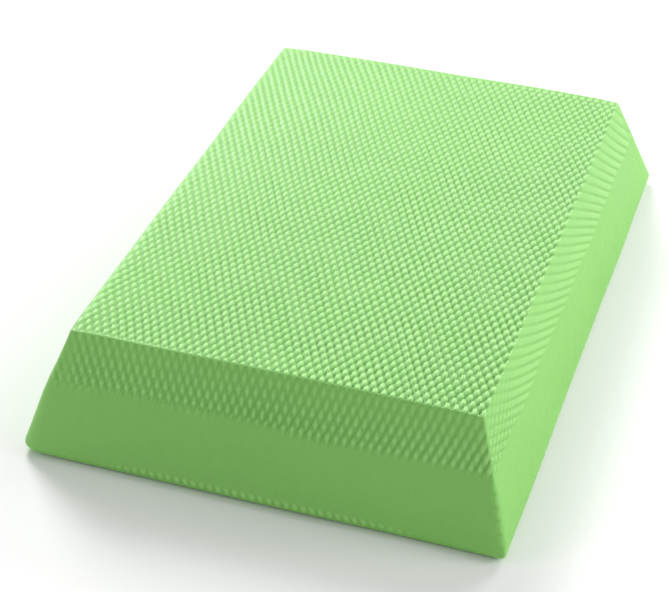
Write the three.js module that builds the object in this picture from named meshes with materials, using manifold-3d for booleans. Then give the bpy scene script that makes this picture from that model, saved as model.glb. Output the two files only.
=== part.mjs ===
// Foam balance pad: a flat block of soft closed-cell foam that tapers upwards on all four sides.
// Three plain foam sheets are bonded on top of each other. An embossed top cover is drawn down over
// them and their sides, and an embossed bottom cover closes the base, with its rim turned up around
// the lower edge to meet the top cover.
//
// Millimetres, +Z up, +Y along the pad's length. The origin is the centre of the underside.

import * as THREE from "three";
import { ConvexGeometry } from "three/addons/geometries/ConvexGeometry.js";
import { mergeVertices } from "three/addons/utils/BufferGeometryUtils.js";
import Module from "manifold-3d";

// Driving dimensions
const LENGTH = 340; // along Y, where the pad is widest, just above the floor
const WIDTH = 232; // along X, at the same height
const HEIGHT = 60;
const END_LEAN = 23; // how far each short end leans in from there to the top
const SIDE_LEAN = 19; // the same for each long side
const COVER = 2.5; // thickness of both covers
const SHEET_COUNT = 3; // foam sheets in the core
const BOND_GAP = 0.3; // stands for each bonded face between two pieces

// Roundings
const LOWER_EDGE_RADIUS = 4; // the bottom cover turns up as high as this
const UPPER_EDGE_RADIUS = 2;
const CORNER_RADIUS = 5; // of the four upright corners, seen from above
const INNER_RADIUS = 1.5; // of every edge that the covers hide
const MERGE_DISTANCE = 0.001; // vertices closer than this are one
const EDGE_STEPS = 4; // facets on each rounded edge
const CORNER_STEPS = 5; // facets on each upright corner

const foam = { color: "#9fd882", metalness: 0 };
const coverMaterial = new THREE.MeshStandardMaterial({ ...foam, roughness: 0.75 });
const coreMaterial = new THREE.MeshStandardMaterial({ ...foam, roughness: 0.95 });

const wasm = await Module();
wasm.setup();

// Points round a rectangle with rounded corners, at one height.
function ring(halfX, halfY, radius, z) {
  const points = [];
  const signs = [[1, 1], [-1, 1], [-1, -1], [1, -1]];
  signs.forEach(([sx, sy], quarter) => {
    for (let i = 0; i <= CORNER_STEPS; i++) {
      const angle = (quarter + i / CORNER_STEPS) * (Math.PI / 2);
      points.push(
        new THREE.Vector3(
          sx * (halfX - radius) + radius * Math.cos(angle),
          sy * (halfY - radius) + radius * Math.sin(angle),
          z,
        ),
      );
    }
  });
  return points;
}

// How far a rounded edge stands back from the sharp one, at a distance from the flat face.
function setBack(radius, fromFace) {
  const left = Math.max(0, radius - fromFace);
  return radius - Math.sqrt(radius * radius - left * left);
}

// How much of the lean in there is at a height: none up to the widest place, all of it at the top.
function leanShare(z) {
  return Math.max(0, z - LOWER_EDGE_RADIUS) / (HEIGHT - LOWER_EDGE_RADIUS);
}

// The pad's tapered form between two heights, a stated distance inside its outer faces.
function taperedBlock({ inside, low, high, lowRadius, highRadius }) {
  const heights = [];
  for (let i = 0; i <= EDGE_STEPS; i++) {
    const share = 1 - Math.cos(((i / EDGE_STEPS) * Math.PI) / 2);
    heights.push(low + lowRadius * share, high - highRadius * share);
  }
  const points = heights.flatMap((z) => {
    const back = inside + setBack(lowRadius, z - low) + setBack(highRadius, high - z);
    const halfX = WIDTH / 2 - SIDE_LEAN * leanShare(z) - back;
    const halfY = LENGTH / 2 - END_LEAN * leanShare(z) - back;
    return ring(halfX, halfY, CORNER_RADIUS - inside / 2, z);
  });
  return new ConvexGeometry(points);
}

// A closed three.js geometry as a manifold-3d solid.
function toSolid(geometry) {
  const bare = geometry.clone();
  bare.deleteAttribute("normal");
  bare.deleteAttribute("uv");
  const merged = mergeVertices(bare, MERGE_DISTANCE);
  return new wasm.Manifold(
    new wasm.Mesh({
      numProp: 3,
      vertProperties: merged.attributes.position.array,
      triVerts: new Uint32Array(merged.index.array),
    }),
  );
}

// A manifold-3d solid as a three.js geometry.
function toGeometry(solid) {
  const mesh = solid.getMesh();
  const geometry = new THREE.BufferGeometry();
  geometry.setAttribute("position", new THREE.BufferAttribute(mesh.vertProperties, 3));
  geometry.setIndex(new THREE.BufferAttribute(mesh.triVerts, 1));
  geometry.computeVertexNormals();
  return geometry;
}

// A slab larger than the pad, which keeps the part of a solid between two heights.
function slab(low, high) {
  const box = new THREE.BoxGeometry(2 * WIDTH, 2 * LENGTH, high - low);
  return toSolid(box.translate(0, 0, (low + high) / 2));
}

// Both covers together: the pad's outer form less the room for the core.
function covers() {
  const outer = taperedBlock({
    inside: 0,
    low: 0,
    high: HEIGHT,
    lowRadius: LOWER_EDGE_RADIUS,
    highRadius: UPPER_EDGE_RADIUS,
  });
  const room = taperedBlock({
    inside: COVER,
    low: COVER,
    high: HEIGHT - COVER,
    lowRadius: INNER_RADIUS,
    highRadius: INNER_RADIUS,
  });
  return toSolid(outer).subtract(toSolid(room));
}

function topCover() {
  return toGeometry(covers().intersect(slab(LOWER_EDGE_RADIUS + BOND_GAP / 2, 2 * HEIGHT)));
}

function bottomCover() {
  return toGeometry(covers().intersect(slab(-HEIGHT, LOWER_EDGE_RADIUS - BOND_GAP / 2)));
}

// One foam sheet of the core, counted from the lowest. Each is as thick as the others.
function coreSheet(number) {
  const floor = COVER + BOND_GAP;
  const pitch = (HEIGHT - 2 * COVER - BOND_GAP) / SHEET_COUNT;
  return taperedBlock({
    inside: COVER + BOND_GAP,
    low: floor + number * pitch,
    high: floor + (number + 1) * pitch - BOND_GAP,
    lowRadius: INNER_RADIUS,
    highRadius: INNER_RADIUS,
  });
}

const pad = new THREE.Group();

function add(name, geometry, material) {
  const mesh = new THREE.Mesh(geometry, material);
  mesh.name = name;
  pad.add(mesh);
}

add("bottom_cover", bottomCover(), coverMaterial);
["lower_core_sheet", "middle_core_sheet", "upper_core_sheet"].forEach((name, number) => {
  add(name, coreSheet(number), coreMaterial);
});
add("top_cover", topCover(), coverMaterial);

export default pad;
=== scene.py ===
"""Foam balance pad: the visual model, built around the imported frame. Metres, +Z up, +Y along the pad.

The outside is one continuous foam skin in two pieces, a top cover and a bottom cover, with rows of small
oval bumps pressed into it. The bumps are real geometry. The core sheets lie hidden inside.
"""

import math
from typing import NamedTuple

import bmesh
import bpy
import numpy as np
from mathutils import Matrix, Vector, noise

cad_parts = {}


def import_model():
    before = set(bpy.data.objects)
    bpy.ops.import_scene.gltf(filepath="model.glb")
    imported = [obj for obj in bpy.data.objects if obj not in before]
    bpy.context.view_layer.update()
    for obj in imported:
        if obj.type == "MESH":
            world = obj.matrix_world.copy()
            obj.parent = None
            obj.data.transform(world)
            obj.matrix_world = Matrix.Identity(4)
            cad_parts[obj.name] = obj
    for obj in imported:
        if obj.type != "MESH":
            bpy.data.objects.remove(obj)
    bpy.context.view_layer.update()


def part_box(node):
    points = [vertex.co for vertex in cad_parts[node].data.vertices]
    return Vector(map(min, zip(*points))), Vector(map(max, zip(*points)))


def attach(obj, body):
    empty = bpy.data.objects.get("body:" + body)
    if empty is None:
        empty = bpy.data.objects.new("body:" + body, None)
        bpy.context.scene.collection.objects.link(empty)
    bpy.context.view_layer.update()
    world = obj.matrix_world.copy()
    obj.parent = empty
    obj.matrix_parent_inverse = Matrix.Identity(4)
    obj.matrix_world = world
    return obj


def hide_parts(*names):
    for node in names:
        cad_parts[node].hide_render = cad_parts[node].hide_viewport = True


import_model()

MM = 0.001

# ---------------------------------------------------------------- the pad's form

BODY = "root"
TOP_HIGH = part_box("top_cover")[1]  # the frame gives the overall size
HALF_WIDTH = TOP_HIGH.x
HALF_LENGTH = TOP_HIGH.y
HEIGHT = TOP_HIGH.z
SIDE_LEAN = 19 * MM  # how far each long side leans in, from the widest height to the top
END_LEAN = 23 * MM  # the same for each short end
WIDEST_HEIGHT = 4 * MM
COVER = 2.5 * MM  # thickness of the covers
SEAM_HEIGHT = 4 * MM  # where the two covers meet
HAIRLINE = 0.006 * MM  # half of the gap between them
TOP_HALF_X = HALF_WIDTH - SIDE_LEAN
TOP_HALF_Y = HALF_LENGTH - END_LEAN
UPPER_RADIUS = 1.0 * MM  # of the edge around the top
LOWER_RADIUS = 4.2 * MM  # of the edge around the base

CORNERS = ((-1, -1), (1, -1), (1, 1), (-1, 1))  # signs of X and Y, anticlockwise seen from above
TINY_LENGTH = 1e-9  # these two keep a division from being by nothing
TINY_AREA = 1e-12
WAVE_SPREAD = (0.7, 1.5)  # the waves' own lengths, as shares of the wavelength asked for


def wave_noise(x, y, wavelength, seed, waves=6):
    """Smooth, repeatable variation over a plane, mostly between -1 and 1: waves in several directions."""
    rng = np.random.default_rng(seed)
    total = np.zeros_like(x)
    for _ in range(waves):
        angle = rng.uniform(0, 2 * math.pi)
        length = wavelength * rng.uniform(*WAVE_SPREAD)
        phase = rng.uniform(0, 2 * math.pi)
        along = x * math.cos(angle) + y * math.sin(angle)
        total += np.sin(2 * math.pi * along / length + phase)
    return total / math.sqrt(waves)


def smooth_step(low, high, value):
    """0 up to the low value, 1 from the high one, and a smooth rise between them."""
    t = np.clip((value - low) / (high - low), 0, 1)
    return t * t * (3 - 2 * t)


def hump(distance, spread):
    """1 at no distance, falling smoothly to about a third at the spread and to nothing well beyond it."""
    return np.exp(-((distance / spread) ** 2))


def blend(first, second, share):
    return first + (second - first) * share


# ---------------------------------------------------------------- the skin's outline in cross-section

# The outline has the mean lean of the sides and ends, and each of them stretches it to its own.
MEAN_LEAN = (SIDE_LEAN + END_LEAN) / 2
STRETCH_X = SIDE_LEAN / MEAN_LEAN
STRETCH_Y = END_LEAN / MEAN_LEAN
SLOPE = math.atan2(HEIGHT - WIDEST_HEIGHT, MEAN_LEAN)  # of the sides, below the horizontal
UPPER_TANGENT = UPPER_RADIUS * math.tan(SLOPE / 2)
LOWER_TURN = math.pi - SLOPE
LOWER_TANGENT = LOWER_RADIUS * math.tan(LOWER_TURN / 2)
STRAIGHT = HEIGHT / math.sin(SLOPE) - UPPER_TANGENT - LOWER_TANGENT

# Distances down the skin from the flat top
UPPER_ARC = UPPER_RADIUS * SLOPE  # where the rounded upper edge ends
LOWER_ARC = UPPER_ARC + STRAIGHT  # where the rounded lower edge begins
BASE = LOWER_ARC + LOWER_RADIUS * LOWER_TURN  # where the flat base begins
SEAM = BASE - LOWER_RADIUS * math.acos(1 - SEAM_HEIGHT / LOWER_RADIUS)


def outline(down):
    """How far out the skin is, and how high, at a distance down it from the flat top.

    Out is measured from the corner that the top and the side would make with no rounding.
    """
    upper = np.clip(down, 0, UPPER_ARC) / UPPER_RADIUS
    straight = np.clip(down - UPPER_ARC, 0, STRAIGHT)
    lower = SLOPE + np.clip(down - LOWER_ARC, 0, BASE - LOWER_ARC) / LOWER_RADIUS
    out = UPPER_RADIUS * np.sin(upper) - UPPER_TANGENT + straight * math.cos(SLOPE)
    out += LOWER_RADIUS * (np.sin(lower) - math.sin(SLOPE))
    z = HEIGHT - UPPER_RADIUS * (1 - np.cos(upper)) - straight * math.sin(SLOPE)
    z += LOWER_RADIUS * (np.cos(lower) - math.cos(SLOPE))
    return out, z


def half_sizes(out):
    """Half of the pad's width and length at the level where the outline is that far out."""
    return TOP_HALF_X + STRETCH_X * out, TOP_HALF_Y + STRETCH_Y * out


# ---------------------------------------------------------------- the pad as it really came out of the mould

CORNER_TOP = 1.2 * MM  # radius of the upright corners at the top
CORNER_BASE = 1.6 * MM  # and at the base
SOFT_CORNER = 8 * MM  # the near left corner is rounder at the base than the others
BULGE = 0.8 * MM  # the left side swells a little half-way up
BULGE_HEIGHT = 30 * MM
BULGE_SPREAD = 12 * MM
BULGE_START = 0.5  # share of the half width from which the swelling grows towards the side
CORNER_DROP = 0.7 * MM  # the top's corners are pressed down a little
CORNER_DROP_SPREAD = 7 * MM
CORNER_LIFT = 1.2 * MM  # the soft corner curls up a little at the base
CORNER_LIFT_SPREAD = 16 * MM
WAVINESS = 0.25 * MM  # the foam's slow unevenness
WAVE_LENGTH = 90 * MM


def corner_radius(u, v, z):
    base = np.where((u < 0) & (v < 0), SOFT_CORNER, CORNER_BASE)
    return blend(CORNER_TOP, base, np.clip(1 - z / HEIGHT, 0, 1))


def round_corners(x, y, half_x, half_y, radius):
    """Turns the square corner of each level into a round one of that radius."""
    centre_x = half_x - radius
    centre_y = half_y - radius
    dx = x - centre_x
    dy = y - centre_y
    inside = (dx > 0) & (dy > 0)
    length = np.where(inside, np.hypot(dx, dy), 1)
    pull = np.where(inside, np.maximum(dx, dy) / length, 1)
    return np.where(inside, centre_x + dx * pull, x), np.where(inside, centre_y + dy * pull, y)


def along_side(over, other, flat, half):
    """Where a point goes along one axis: flat ground, the side's own face, or the next face's corner."""
    share = np.clip(over, 0, None) / np.maximum(np.maximum(over, other), TINY_LENGTH)
    return np.where(over <= 0, flat + over, blend(flat, half, np.clip(share, 0, 1)))


def settle(x, y, z, half_x):
    """The X and Z of points once the left side has swollen, and the corners have dropped or curled up."""
    swell = BULGE * hump(z - BULGE_HEIGHT, BULGE_SPREAD)
    x = x - swell * smooth_step(BULGE_START, 1, -x / half_x)
    from_corner = np.hypot(np.abs(x) - TOP_HALF_X, np.abs(y) - TOP_HALF_Y)
    z = z - np.where(z > HEIGHT / 2, CORNER_DROP * hump(from_corner, CORNER_DROP_SPREAD), 0)
    from_soft = np.hypot(x + HALF_WIDTH, y + HALF_LENGTH)
    lift = CORNER_LIFT * hump(from_soft, CORNER_LIFT_SPREAD)
    return x, z + lift * np.clip(1 - z / SEAM_HEIGHT, 0, 1)


class Grid(NamedTuple):
    """A grid of points on the skin, rows along Y and columns along X, and where on the skin each one lies."""

    points: np.ndarray
    down: np.ndarray  # distance down the skin from the flat top
    over_x: np.ndarray  # how far past the flat ground it is along X, negative on the ground
    over_y: np.ndarray
    from_upright: np.ndarray  # how far along its side it is from the nearest upright corner

    @property
    def x(self):
        return self.points[..., 0]

    @property
    def y(self):
        return self.points[..., 1]

    @property
    def z(self):
        return self.points[..., 2]

    @property
    def on_end(self):
        return self.over_y > self.over_x


class Skin:
    """The pad's skin, seen from its flat top or from its flat base.

    Sheet coordinates u and v run flat along X and Y and go on round the edges, as on a sheet drawn
    over the pad.
    """

    def __init__(self, start, direction):
        self.start = start  # distance down the skin at which the flat ground ends
        self.direction = direction  # 1 if the sheet goes down from there, -1 if up
        self.flat_x, self.flat_y = half_sizes(float(outline(start)[0]))

    def place(self, u, v):
        """The smooth skin's points at those sheet coordinates."""
        over_x = np.abs(u) - self.flat_x
        over_y = np.abs(v) - self.flat_y
        depth = np.clip(np.maximum(over_x, over_y), 0, None)
        down = self.start + self.direction * depth
        out, z = outline(down)
        half_x, half_y = half_sizes(out)
        x = along_side(over_x, over_y, self.flat_x, half_x)
        y = along_side(over_y, over_x, self.flat_y, half_y)
        from_upright = np.where(over_x >= over_y, half_y - y, half_x - x)
        x, y = round_corners(x, y, half_x, half_y, corner_radius(u, v, z))
        y = y * np.sign(v)
        x, z = settle(x * np.sign(u), y, z, half_x)
        return Grid(np.stack([x, y, z], axis=-1), down, over_x, over_y, from_upright)


TOP_SKIN = Skin(0, 1)
BASE_SKIN = Skin(BASE, -1)


def normals_of(points):
    """Unit normals of a grid of points, rows along Y and columns along X: upward where it is flat."""
    across = np.gradient(points, axis=1)
    along = np.gradient(points, axis=0)
    normal = np.cross(across, along)
    return normal / np.maximum(np.linalg.norm(normal, axis=-1, keepdims=True), TINY_AREA)


# ---------------------------------------------------------------- the pressed pattern

# Oval bumps in rows across the pad, alternate rows half a pitch aside
BUMP_PITCH = 4.08 * MM  # along X, within a row
ROW_PAIR = 8.6 * MM  # along Y, from a row to the next but one
RELIEF = 1.1 * MM  # from the bottom of a dimple to the top of a bump
PATTERN_TURN = math.radians(1.0)  # the pattern lies slightly askew
WARP = 0.25 * MM  # the rows wander by this much
WARP_LENGTH = 70 * MM
BROAD = 2.9  # the bumps on the top and long sides are broad, with narrow grooves between them
SLENDER = 1.1  # those on the short ends and along the rim are slender, with wide grooves

# The top: how unevenly the mould pressed it
NEARER_DEEPER = 0.26  # share by which the pattern is deeper at the near end, and shallower at the far one
RIGHT_DEEPER = 0.28  # the same across the pad
EDGE_CALM = 0.35  # its strength right at the top's far and left edges
EDGE_CALM_WIDTH = 5 * MM
TOP_SLANT = 0.7  # towards the far left corner the grooves along one diagonal are that much deeper

# The band that the pattern covers on the sides
BAND_DEPTH = 26.5 * MM  # how far down the sides it reaches
BAND_FADE = 1.8 * MM
BAND_WOBBLE = 0.9 * MM  # its lower end wanders by this much
BAND_WOBBLE_LENGTH = 60 * MM
DRAWN = 1.4  # how much longer the sheet is drawn just past the top's edge
FAR_DRAWN = 2.5  # on the long sides it is drawn more towards the far end
EDGE_BLEND = 1.2 * MM  # width over which the pattern changes from one side's run to the next one's
SIDE_STRENGTH = 0.65  # the pattern is weaker on the long sides than on the top
END_STRENGTH = 0.95  # and a little weaker on the ends
UPPER_STRENGTH = 0.5  # and weaker again just past the top's edge
UPPER_REACH = BAND_DEPTH * 0.9  # down to where that lasts
UPRIGHT_FADE = 1.2 * MM  # it fades out beside the upright corners
FAR_FADE = 7 * MM  # more widely beside the far ones
SOFT_FADE = 14 * MM  # and most of all on the left side of the soft one
NEAR_SOFT_FADE = 4 * MM  # less on that corner's near side
SLANT = 0.9  # on the long sides too the grooves along one diagonal are deeper
SLANT_START = 35 * MM  # from the near end, where that begins
SLANT_FULL = 85 * MM
END_SLANT = 0.4  # on the short ends the grooves that run away from the nearer corner are deeper

# The rim: the base's pattern comes round the lower edge and shows on the sides
RIM_LOW = 3.8 * MM  # between these two heights
RIM_REACH = 5.5 * MM
RIM_FADE = 1.5 * MM
RIM_STRENGTH = 0.6
RIM_SPAN_FULL = 0.432  # it sinks away between these shares of each side's half length
RIM_SPAN_END = 0.936
RIM_SLANT = 0.6
RIM_SIDE_SHARE = 0.4  # it is fainter on the long sides
BASE_FADE = LOWER_RADIUS * 0.8  # the base's own pattern fades out over this much of the lower edge

# The part of the relief that lies below the skin's smooth level
TOP_GROUND = 0.66  # rising to all of it at the far left corner
SIDE_GROUND = 0.6
END_GROUND = 0.45
RIM_GROUND = 0.3

# The vertex attribute that tells the material how high in the pattern a point is; from it the material paints
# shade into the grooves and a highlight onto the bumps, and sets their roughness
LEVEL_NAME = "relief"
SMOOTH_LEVEL = 0.5  # 0 is the deepest groove, 1 the highest bump and this the smooth skin
SIDE_TINT = 0.85  # share of the level's change that the sides show


def bumps(x, y, slant, breadth):
    """The pattern's height, from 0 in a groove to 1 on a bump, at a place on the flat sheet.

    Two families of grooves cross to leave the bumps. Slant, between -1 and 1, makes one family the deeper,
    and a greater breadth leaves broader bumps.
    """
    x = x + WARP * wave_noise(x, y, WARP_LENGTH, seed=3)
    y = y + WARP * wave_noise(x, y, WARP_LENGTH, seed=4)
    across = 2 * math.pi * (x * math.cos(PATTERN_TURN) + y * math.sin(PATTERN_TURN)) / BUMP_PITCH
    along = 2 * math.pi * (y * math.cos(PATTERN_TURN) - x * math.sin(PATTERN_TURN)) / ROW_PAIR
    rising = ((1 - np.cos(across - along)) / 2) ** breadth
    falling = ((1 - np.cos(across + along)) / 2) ** breadth
    level = (1 - np.minimum(1 + slant, 1) * rising) * (1 - np.minimum(1 - slant, 1) * falling)
    return level * (2 - level)  # flattens the bumps' tops


def undrawn(depth, drawn):
    """The sheet's own length from the edge to that depth, before it was drawn down the side."""
    easing = (DRAWN / drawn) ** 2 / (2 * BAND_DEPTH)  # it is drawn less and less on the way down
    return depth / drawn + (1 - 1 / drawn) * depth**2 * easing


def on_sheet(place, over, flat, drawn):
    """A coordinate on the undrawn sheet: the place itself on the flat, and carried on past its edge."""
    past = flat + undrawn(np.clip(over, 0, None), drawn)
    return np.where(over > 0, np.sign(place) * past, place)


def towards_far_left(grid):
    """0 on the near right half of the pad, rising to 1 at its far left corner."""
    return smooth_step(0, 2, grid.y / HALF_LENGTH - grid.x / HALF_WIDTH)


def sheet_bumps(grid):
    """The top's pattern on a sheet that goes on round the edges: each side carries on from the flat."""
    drawn = blend(DRAWN, FAR_DRAWN, smooth_step(0, HALF_LENGTH, grid.y))
    sheet_x = on_sheet(grid.x, grid.over_x, TOP_SKIN.flat_x, drawn)
    sheet_y = on_sheet(grid.y, grid.over_y, TOP_SKIN.flat_y, DRAWN)
    top_slant = -TOP_SLANT * towards_far_left(grid)
    side_slant = SLANT * np.sign(grid.x) * smooth_step(SLANT_START, SLANT_FULL, grid.y + HALF_LENGTH)
    end_slant = -END_SLANT * np.sign(grid.y) * grid.x / HALF_WIDTH
    end_breadth = blend(BROAD, SLENDER, smooth_step(0, UPPER_ARC, grid.over_y))
    by_side = bumps(sheet_x, grid.y, np.where(grid.over_x > 0, side_slant, top_slant), BROAD)
    by_end = bumps(grid.x, sheet_y, np.where(grid.over_y > 0, end_slant, top_slant), end_breadth)
    return blend(by_end, by_side, smooth_step(-EDGE_BLEND, EDGE_BLEND, grid.over_x - grid.over_y))


def band_strength(grid):
    """How strong the top's pattern is, by how far down the side and from the upright corners it is."""
    wobble = BAND_WOBBLE * wave_noise(grid.x, grid.y, BAND_WOBBLE_LENGTH, seed=5)
    fade = 1 - smooth_step(BAND_DEPTH - BAND_FADE, BAND_DEPTH + BAND_FADE / 2, grid.down + wobble)
    past_edge = smooth_step(0, UPPER_ARC, grid.down)
    just_past = past_edge * (1 - smooth_step(UPPER_ARC, UPPER_REACH, grid.down))
    soft_fade = np.where(grid.on_end, NEAR_SOFT_FADE, SOFT_FADE)
    near_fade = np.where(grid.x < 0, soft_fade, UPRIGHT_FADE)
    corner_fade = np.where(grid.y > 0, FAR_FADE, near_fade)
    upright = blend(1, smooth_step(0, corner_fade, grid.from_upright), past_edge)
    side = blend(1, np.where(grid.on_end, END_STRENGTH, SIDE_STRENGTH), past_edge)
    return fade * upright * side * blend(1, UPPER_STRENGTH, just_past)


def top_strength(grid):
    """How deep the pattern is by its place on the top: the mould pressed unevenly."""
    uneven = RIGHT_DEEPER * grid.x / HALF_WIDTH - NEARER_DEEPER * grid.y / HALF_LENGTH
    press = 1 + uneven * (1 - smooth_step(0, UPPER_ARC, grid.down))
    to_edge = np.minimum(np.abs(TOP_HALF_X + grid.x), np.abs(TOP_HALF_Y - grid.y))
    return press * blend(EDGE_CALM, 1, smooth_step(0, EDGE_CALM_WIDTH, to_edge))


def ground(grid):
    """The height in the pattern that lies level with the smooth skin."""
    top = blend(TOP_GROUND, 1, towards_far_left(grid))
    side = np.where(grid.on_end, END_GROUND, SIDE_GROUND)
    return blend(top, side, smooth_step(0, UPPER_ARC, grid.down))


def rim_strength(grid):
    """How strong the base's pattern is where it shows on the sides, just above the lower edge."""
    along = np.abs(np.where(grid.on_end, grid.x / HALF_WIDTH, grid.y / HALF_LENGTH))
    reach = RIM_REACH * (1 - smooth_step(RIM_SPAN_FULL, RIM_SPAN_END, along))
    above = smooth_step(RIM_LOW - RIM_FADE / 2, RIM_LOW + RIM_FADE / 2, grid.z)
    share = np.where(grid.on_end, RIM_STRENGTH, RIM_STRENGTH * RIM_SIDE_SHARE)
    return share * above * (1 - smooth_step(reach, reach + RIM_FADE, grid.z))


def rim_bumps(grid):
    """The base's pattern, carried round the lower edge and up the sides."""
    from_base = BASE - grid.down
    sheet_x = np.where(grid.on_end, grid.x, np.sign(grid.x) * (BASE_SKIN.flat_x + from_base))
    sheet_y = np.where(grid.on_end, np.sign(grid.y) * (BASE_SKIN.flat_y + from_base), grid.y)
    return bumps(sheet_x, sheet_y, RIM_SLANT, SLENDER)


def emboss(skin, grid):
    """The pattern's height above the smooth skin, and its level for the material."""
    if skin is TOP_SKIN:
        height = band_strength(grid) * top_strength(grid) * (sheet_bumps(grid) - ground(grid))
    else:
        below = bumps(grid.x, grid.y, 0, BROAD) - 1  # nothing stands below the floor
        height = below * (1 - smooth_step(0, BASE_FADE, BASE - grid.down))
    height = height + rim_strength(grid) * (rim_bumps(grid) - RIM_GROUND)
    on_flat = (grid.down < UPPER_ARC) | (grid.down > BASE - UPPER_ARC)
    level = SMOOTH_LEVEL + height * np.where(on_flat, 1, SIDE_TINT)
    return RELIEF * height, np.clip(level, 0, 1)


# ---------------------------------------------------------------- the covers' meshes

ACROSS_STEP = BUMP_PITCH / 6  # of the mesh across a bump
ALONG_STEP = ROW_PAIR / 6  # and along it
ARC_STEP = UPPER_ARC / 3
SIDE_COARSENESS = 1.45  # how much larger the steps are on the sides
PLAIN_STEP = 6 * MM  # where the skin is smooth
RIM_STEP = 0.8 * MM
SEAM_STRIP = 0.15 * MM  # a narrow strip beside the seam, so that the shading runs on across it


def steps(low, high, size):
    return np.linspace(low, high, max(1, round((high - low) / size)) + 1)


def chain(*stretches):
    """Joins stretches end to end, each point once."""
    joined = [stretches[0]]
    joined.extend(stretch[1:] for stretch in stretches[1:])
    return np.concatenate(joined)


def both_ways(flat, step, past):
    """Sheet coordinates along one axis: the flat ground, and the same way past it on both sides."""
    middle = steps(-flat, flat, step)
    return chain(-(flat + past[::-1]), middle, flat + past)


def grid_faces(rows, columns):
    corner = np.arange(rows * columns).reshape(rows, columns)
    quads = [corner[:-1, :-1], corner[:-1, 1:], corner[1:, 1:], corner[1:, :-1]]
    return np.stack(quads, axis=-1).reshape(-1, 4)


def border(rows, columns):
    """The grid's outer points in order, anticlockwise seen from its front."""
    corner = np.arange(rows * columns).reshape(rows, columns)
    return np.concatenate([corner[0, :-1], corner[:-1, -1], corner[-1, :0:-1], corner[:0:-1, 0]])


def link_object(name, mesh):
    piece = bpy.data.objects.new(name, mesh)
    bpy.context.scene.collection.objects.link(piece)
    return piece


def shade(mesh, smooth_count):
    """The first faces are shaded smooth and the rest flat."""
    mesh.polygons.foreach_set("use_smooth", np.arange(len(mesh.polygons)) < smooth_count)


def inner_rings(edge, rim_z, floor_z):
    """Inside a cover: the rim's inner edge, and the outline of the floor that its wall leans in to."""
    half_x, half_y = np.abs(edge[:, :2]).max(axis=0)
    rim = edge * [1 - COVER / half_x, 1 - COVER / half_y, 1]
    lean = (floor_z - rim_z) / (HEIGHT - WIDEST_HEIGHT)
    floor = rim * [1 - SIDE_LEAN * lean / half_x, 1 - END_LEAN * lean / half_y, 0] + [0, 0, floor_z]
    return rim, floor


def cover(name, skin, u, v, rim_z, floor_z):
    """A cover: the embossed skin, a rim where it ends, and the smooth wall and floor on its inner side."""
    grid = skin.place(*np.meshgrid(u, v))
    height, level = emboss(skin, grid)
    unevenness = WAVINESS * wave_noise(grid.x, grid.y, WAVE_LENGTH, seed=1)
    height += unevenness * np.clip(grid.z / SEAM_HEIGHT, 0, 1)
    normals = normals_of(grid.points) * skin.direction
    outer = (grid.points + normals * height[..., None]).reshape(-1, 3)
    edge = border(len(v), len(u))
    skin_faces = grid_faces(len(v), len(u))
    if skin is BASE_SKIN:  # it faces down, so each face runs the other way round
        edge = edge[::-1]
        skin_faces = skin_faces[:, ::-1]
    outer[edge, 2] = rim_z
    rim, floor = inner_rings(outer[edge], rim_z, floor_z)
    rim_ring = len(outer) + np.arange(len(edge))
    floor_ring = rim_ring + len(edge)
    walls = []
    for high, low in ((edge, rim_ring), (rim_ring, floor_ring)):
        walls.append(np.stack([np.roll(high, -1), high, low, np.roll(low, -1)], axis=-1))
    faces = skin_faces.tolist() + np.concatenate(walls).tolist() + [floor_ring[::-1].tolist()]
    levels = np.concatenate([level.ravel(), np.full(2 * len(edge), SMOOTH_LEVEL)])
    mesh = bpy.data.meshes.new(name)
    mesh.from_pydata(np.concatenate([outer, rim, floor]).tolist(), [], faces)
    attribute = mesh.attributes.new(LEVEL_NAME, "FLOAT", "POINT")
    attribute.data.foreach_set("value", levels.astype(np.float32))
    shade(mesh, len(skin_faces))
    mesh.update()
    return link_object(name, mesh)


def top_cover():
    rim_start = SEAM - (RIM_REACH + RIM_FADE - SEAM_HEIGHT) / math.sin(SLOPE)
    band_end = BAND_DEPTH + BAND_FADE

    def past(step):
        arc = steps(0, UPPER_ARC, ARC_STEP)
        band = steps(UPPER_ARC, band_end, step)
        plain = steps(band_end, rim_start, PLAIN_STEP)
        rim = steps(rim_start, SEAM - SEAM_STRIP, RIM_STEP)
        return chain(arc, band, plain, rim, np.array([0, SEAM]))

    u = both_ways(TOP_SKIN.flat_x, ACROSS_STEP, past(ACROSS_STEP * SIDE_COARSENESS))
    v = both_ways(TOP_SKIN.flat_y, ALONG_STEP, past(ALONG_STEP * SIDE_COARSENESS))
    return cover("top_cover_foam", TOP_SKIN, u, v, SEAM_HEIGHT + HAIRLINE, HEIGHT - COVER)


def bottom_cover():
    past = chain(steps(0, BASE - SEAM - SEAM_STRIP, RIM_STEP), np.array([0, BASE - SEAM]))
    u = both_ways(BASE_SKIN.flat_x, ACROSS_STEP, past)
    v = both_ways(BASE_SKIN.flat_y, ALONG_STEP, past)
    return cover("bottom_cover_foam", BASE_SKIN, u, v, SEAM_HEIGHT - HAIRLINE, COVER)


# ---------------------------------------------------------------- the core sheets

CORE_EDGE = 1.5 * MM  # rounding of a core sheet's edges
CORE_EDGE_STEPS = 3
CORE_CELL = 9 * MM  # size of its mesh
CORE_LONG_EDGE = CORE_CELL * 4  # edges longer than this are divided
CORE_ROUGHNESS = 0.06 * MM  # unevenness of its cut faces


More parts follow.
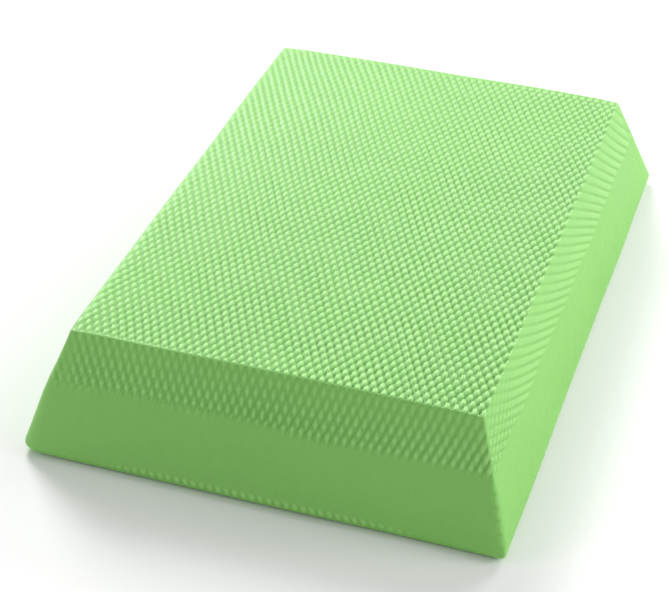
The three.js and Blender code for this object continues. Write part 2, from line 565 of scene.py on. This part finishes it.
def core_sheet(node):
    """A plain foam sheet cut to the pad's taper, its edges eased and its faces slightly uneven."""
    low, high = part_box(node)
    lean = (high.z - low.z) / (HEIGHT - WIDEST_HEIGHT)
    levels = ((high.x, high.y, low.z), (high.x - SIDE_LEAN * lean, high.y - END_LEAN * lean, high.z))
    build = bmesh.new()
    rings = []
    for half_x, half_y, z in levels:
        rings.append([build.verts.new((sx * half_x, sy * half_y, z)) for sx, sy in CORNERS])
    base, top = rings
    build.faces.new(base[::-1])
    build.faces.new(top)
    for i in range(len(CORNERS)):
        j = (i + 1) % len(CORNERS)
        build.faces.new([base[i], base[j], top[j], top[i]])
    bmesh.ops.bevel(
        build,
        geom=build.edges[:],
        offset=CORE_EDGE,
        segments=CORE_EDGE_STEPS,
        profile=0.5,  # a round edge
        affect="EDGES",
    )
    long_edges = [edge for edge in build.edges if edge.calc_length() > CORE_LONG_EDGE]
    cuts = round(2 * HALF_WIDTH / CORE_CELL)
    bmesh.ops.subdivide_edges(build, edges=long_edges, cuts=cuts, use_grid_fill=True)
    build.normal_update()
    for vertex in build.verts:
        shift = CORE_ROUGHNESS * noise.noise(vertex.co / CORE_CELL)
        vertex.co += vertex.normal * shift
    mesh = bpy.data.meshes.new(node + "_foam")
    build.to_mesh(mesh)
    build.free()
    shade(mesh, len(mesh.polygons))
    return link_object(node + "_foam", mesh)


# ---------------------------------------------------------------- materials

SKIN_GREEN = (0.21, 0.555, 0.089, 1)
DIMPLE_SHADE_GREEN = (0.135, 0.42, 0.056, 1)  # painted shade: the dimples' foam darkened as if shaded, not a colour of its own
BUMP_HIGHLIGHT_GREEN = (0.31, 0.70, 0.165, 1)  # painted highlight: the bumps' tops made paler, as where light catches them
CORE_GREEN = (0.27, 0.62, 0.15, 1)
FULL_HIGHLIGHT_LEVEL = 0.9  # from which a bump has all of its painted highlight

NOISE_SPAN = (0.3, 0.7)  # where most of a noise's values lie
GRAIN_SPAN = (0.25, 0.75)  # and of one with less detail

SLOW_SIZE = 60 * MM  # the skin's colour drifts over the pad, is mottled and has a fine grain
SLOW_TONES = (0.97, 1.02)
MOTTLE_SIZE = 7 * MM
MOTTLE_TONES = (0.985, 1.015)
GRAIN_SIZE = 0.9 * MM
GRAIN_TONES = (0.965, 1.03)
PATCH_SIZE = 4 * MM  # its gloss is patchy too
PATCH_ROUGHNESS = (0.44, 0.54)
DIMPLE_EXTRA_ROUGHNESS = (0.16, 0.0)  # from a dimple to a bump, since the dimples keep the mould's finish
POLISHED_LEVEL = 0.7  # where that extra ends
SKIN_SPECULAR = 0.9
SKIN_ROUGH_SIZE = 0.7 * MM  # its finest relief is slight roughness and closed cells
SKIN_CELL_SIZE = 0.8 * MM
SKIN_CELL_DEPTH = 0.05 * MM

PIT_SIZE = 1.4 * MM  # the cut foam's open cells
PIT_SPAN = (0.1, 0.7)
# painted shade: the pits' middles darker, as if shaded
PIT_SHADE_TONES = (0.9, 1.04)
PIT_DEPTH = 0.25 * MM
PIT_ROUGHNESS = (0.95, 0.8)  # from a pit's middle outwards
PIT_ROUGHNESS_SPAN = (0.0, 0.8)
CORE_TONE_SIZE = 5 * MM
CORE_MOTTLE_SIZE = 14 * MM
CORE_MOTTLE_TONES = (0.95, 1.04)

MIX_FIRST = 6  # the Mix node's colour sockets, whose names its number sockets share
MIX_SECOND = 7
MIX_RESULT = 2


class Nodes:
    """A short way to add shader nodes and wire them."""

    def __init__(self, name):
        self.material = bpy.data.materials.new(name)
        self.material.use_nodes = True
        self.tree = self.material.node_tree
        self.shader = self.tree.nodes["Principled BSDF"]
        self.place = self.add("ShaderNodeTexCoord").outputs["Object"]

    def add(self, kind, **settings):
        node = self.tree.nodes.new(kind)
        for key, value in settings.items():
            setattr(node, key, value)
        return node

    def link(self, output, socket):
        self.tree.links.new(output, socket)

    def noise(self, size, detail=3.0, roughness=0.55):
        """Noise between 0 and 1 whose features are about that size, in metres."""
        node = self.add("ShaderNodeTexNoise")
        self.link(self.place, node.inputs["Vector"])
        node.inputs["Scale"].default_value = 1 / size
        node.inputs["Detail"].default_value = detail
        node.inputs["Roughness"].default_value = roughness
        return node.outputs["Fac"]

    def cells(self, size):
        """Distance from the middle of the nearest foam cell, cells of about that size in metres."""
        node = self.add("ShaderNodeTexVoronoi")
        self.link(self.place, node.inputs["Vector"])
        node.inputs["Scale"].default_value = 1 / size
        return node.outputs["Distance"]

    def ranged(self, value, span, result):
        """A link whose values over the span are spread over the result's range, and held at its ends."""
        node = self.add("ShaderNodeMapRange")
        self.link(value, node.inputs["Value"])
        for socket, number in zip(("From Min", "From Max", "To Min", "To Max"), span + result):
            node.inputs[socket].default_value = number
        return node.outputs["Result"]

    def mix(self, share, first, second):
        """Colours or links, mixed by a share that is a link."""
        node = self.add("ShaderNodeMix", data_type="RGBA")
        self.link(share, node.inputs["Factor"])
        for socket, value in ((node.inputs[MIX_FIRST], first), (node.inputs[MIX_SECOND], second)):
            if isinstance(value, tuple):
                socket.default_value = value
            else:
                self.link(value, socket)
        return node.outputs[MIX_RESULT]

    def brightened(self, colour, amount):
        """The colour times a link that is about 1."""
        node = self.add("ShaderNodeHueSaturation")
        self.link(colour, node.inputs["Color"])
        self.link(amount, node.inputs["Value"])
        return node.outputs["Color"]

    def add_values(self, first, second):
        node = self.add("ShaderNodeMath", operation="ADD")
        self.link(first, node.inputs[0])
        self.link(second, node.inputs[1])
        return node.outputs["Value"]

    def bump(self, height, depth):
        node = self.add("ShaderNodeBump")
        node.inputs["Strength"].default_value = 1
        node.inputs["Distance"].default_value = depth
        self.link(height, node.inputs["Height"])
        self.link(node.outputs["Normal"], self.shader.inputs["Normal"])


def skin_material():
    """Moulded foam skin: matt, a fine closed-cell grain, with painted shade darkening the dimples and a
    painted highlight paling the bumps.
    """
    nodes = Nodes("foam_skin")
    level = nodes.add("ShaderNodeAttribute", attribute_name=LEVEL_NAME).outputs["Fac"]
    # painted shade darkens the grooves and a painted highlight pales the bumps, by their level in the relief
    dimple_shade_mix = nodes.ranged(level, (0.0, SMOOTH_LEVEL), (0.0, 1.0))
    # painted highlight: the bumps pale towards their tops
    bump_highlight_mix = nodes.ranged(level, (SMOOTH_LEVEL, FULL_HIGHLIGHT_LEVEL), (0.0, 1.0))
    colour = nodes.mix(bump_highlight_mix, nodes.mix(dimple_shade_mix, DIMPLE_SHADE_GREEN, SKIN_GREEN), BUMP_HIGHLIGHT_GREEN)
    slow = nodes.ranged(nodes.noise(SLOW_SIZE), NOISE_SPAN, SLOW_TONES)
    mottle = nodes.ranged(nodes.noise(MOTTLE_SIZE), NOISE_SPAN, MOTTLE_TONES)
    grain = nodes.ranged(nodes.noise(GRAIN_SIZE, detail=2), GRAIN_SPAN, GRAIN_TONES)
    for amount in (slow, mottle, grain):
        colour = nodes.brightened(colour, amount)
    nodes.link(colour, nodes.shader.inputs["Base Color"])
    worn = nodes.ranged(level, (0.0, POLISHED_LEVEL), DIMPLE_EXTRA_ROUGHNESS)
    patchy = nodes.ranged(nodes.noise(PATCH_SIZE), NOISE_SPAN, PATCH_ROUGHNESS)
    nodes.link(nodes.add_values(worn, patchy), nodes.shader.inputs["Roughness"])
    nodes.shader.inputs["Specular IOR Level"].default_value = SKIN_SPECULAR
    rough = nodes.add_values(nodes.noise(SKIN_ROUGH_SIZE), nodes.cells(SKIN_CELL_SIZE))
    nodes.bump(rough, SKIN_CELL_DEPTH)
    return nodes.material


def core_material():
    """Cut foam: paler and rougher, with open cells that show as fine pits, their middles darkened by painted
    shade.
    """
    nodes = Nodes("foam_core")
    cells = nodes.cells(PIT_SIZE)
    # painted shade in the open cells' pits
    pits = nodes.ranged(cells, PIT_SPAN, PIT_SHADE_TONES)
    mottle = nodes.ranged(nodes.noise(CORE_MOTTLE_SIZE), NOISE_SPAN, CORE_MOTTLE_TONES)
    plain = nodes.mix(nodes.noise(CORE_TONE_SIZE), CORE_GREEN, SKIN_GREEN)
    colour = nodes.brightened(nodes.brightened(plain, pits), mottle)
    nodes.link(colour, nodes.shader.inputs["Base Color"])
    nodes.link(nodes.ranged(cells, PIT_ROUGHNESS_SPAN, PIT_ROUGHNESS), nodes.shader.inputs["Roughness"])
    nodes.bump(cells, PIT_DEPTH)
    return nodes.material


# ---------------------------------------------------------------- the assembly

SKIN = skin_material()
CORE = core_material()


def fit_out(piece, node, material):
    piece.data.materials.append(material)
    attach(piece, BODY)
    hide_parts(node)


fit_out(top_cover(), "top_cover", SKIN)
fit_out(bottom_cover(), "bottom_cover", SKIN)
for sheet in ("upper_core_sheet", "middle_core_sheet", "lower_core_sheet"):
    fit_out(core_sheet(sheet), sheet, CORE)

# ---------------------------------------------------------------- floor, light and camera

FLOOR_HALF = 4.0  # half of its width, in metres
FLOOR_DROP = 0.3 * MM  # just under the base, so that the two never share a plane
FLOOR_WHITE = (0.92, 0.92, 0.92, 1)
FLOOR_ROUGHNESS = 0.9
AIM = Vector((-0.0048, -0.0410, 0.030))  # the point in the middle of the view
VIEW_AZIMUTH = math.radians(17.56)  # from the near end towards the right
VIEW_ELEVATION = math.radians(34.76)
VIEW_DISTANCE = 0.9638
VIEW_ROLL = math.radians(1.02)
LENS = 105.13  # the camera's focal length and sensor width, in millimetres
SENSOR = 36.0


def floor():
    mesh = bpy.data.meshes.new("floor")
    corners = [(sx * FLOOR_HALF, sy * FLOOR_HALF, -FLOOR_DROP) for sx, sy in CORNERS]
    mesh.from_pydata(corners, [], [range(len(CORNERS))])
    material = bpy.data.materials.new("floor_white")
    material.use_nodes = True
    shader = material.node_tree.nodes["Principled BSDF"]
    shader.inputs["Base Color"].default_value = FLOOR_WHITE
    shader.inputs["Roughness"].default_value = FLOOR_ROUGHNESS
    mesh.materials.append(material)
    link_object("floor", mesh)


def from_pad(azimuth, elevation):
    """The direction from the pad to a place around it: azimuth 0 is at -Y, and a quarter turn is at +X."""
    level = math.cos(elevation)
    return Vector((math.sin(azimuth) * level, -math.cos(azimuth) * level, math.sin(elevation)))


def area_light(name, azimuth, elevation, distance, size, power):
    """A square soft light that shines on the pad, its angles in degrees."""
    data = bpy.data.lights.new(name, "AREA")
    data.shape = "SQUARE"
    data.size = size
    data.energy = power
    lamp = link_object(name, data)
    towards = from_pad(math.radians(azimuth), math.radians(elevation))
    lamp.location = towards * distance
    lamp.rotation_euler = towards.to_track_quat("Z", "Y").to_euler()


def world(strength):
    surroundings = bpy.data.worlds.new("studio")
    surroundings.use_nodes = True
    background = surroundings.node_tree.nodes["Background"]
    background.inputs["Color"].default_value = (1, 1, 1, 1)
    background.inputs["Strength"].default_value = strength
    bpy.context.scene.world = surroundings


def camera():
    data = bpy.data.cameras.new("camera")
    data.lens = LENS
    data.sensor_width = SENSOR
    eye = link_object("camera", data)
    back = from_pad(VIEW_AZIMUTH, VIEW_ELEVATION)
    level = Vector((0, 0, 1)).cross(back).normalized()
    right = Matrix.Rotation(VIEW_ROLL, 3, back) @ level
    up = back.cross(right)
    turn = Matrix((right, up, back)).transposed().to_4x4()
    eye.matrix_world = Matrix.Translation(AIM + back * VIEW_DISTANCE) @ turn
    bpy.context.scene.camera = eye


floor()
world(0.46)
area_light("back_light", azimuth=214, elevation=37, distance=3.0, size=1.0, power=68)
area_light("back_right_light", azimuth=160, elevation=25, distance=2.0, size=0.8, power=16)
area_light("right_light", azimuth=102, elevation=26, distance=2.0, size=0.8, power=17.5)
area_light("left_fill", azimuth=300, elevation=30, distance=2.0, size=0.8, power=4.5)
camera()
bpy.context.scene.view_settings.view_transform = "Standard"
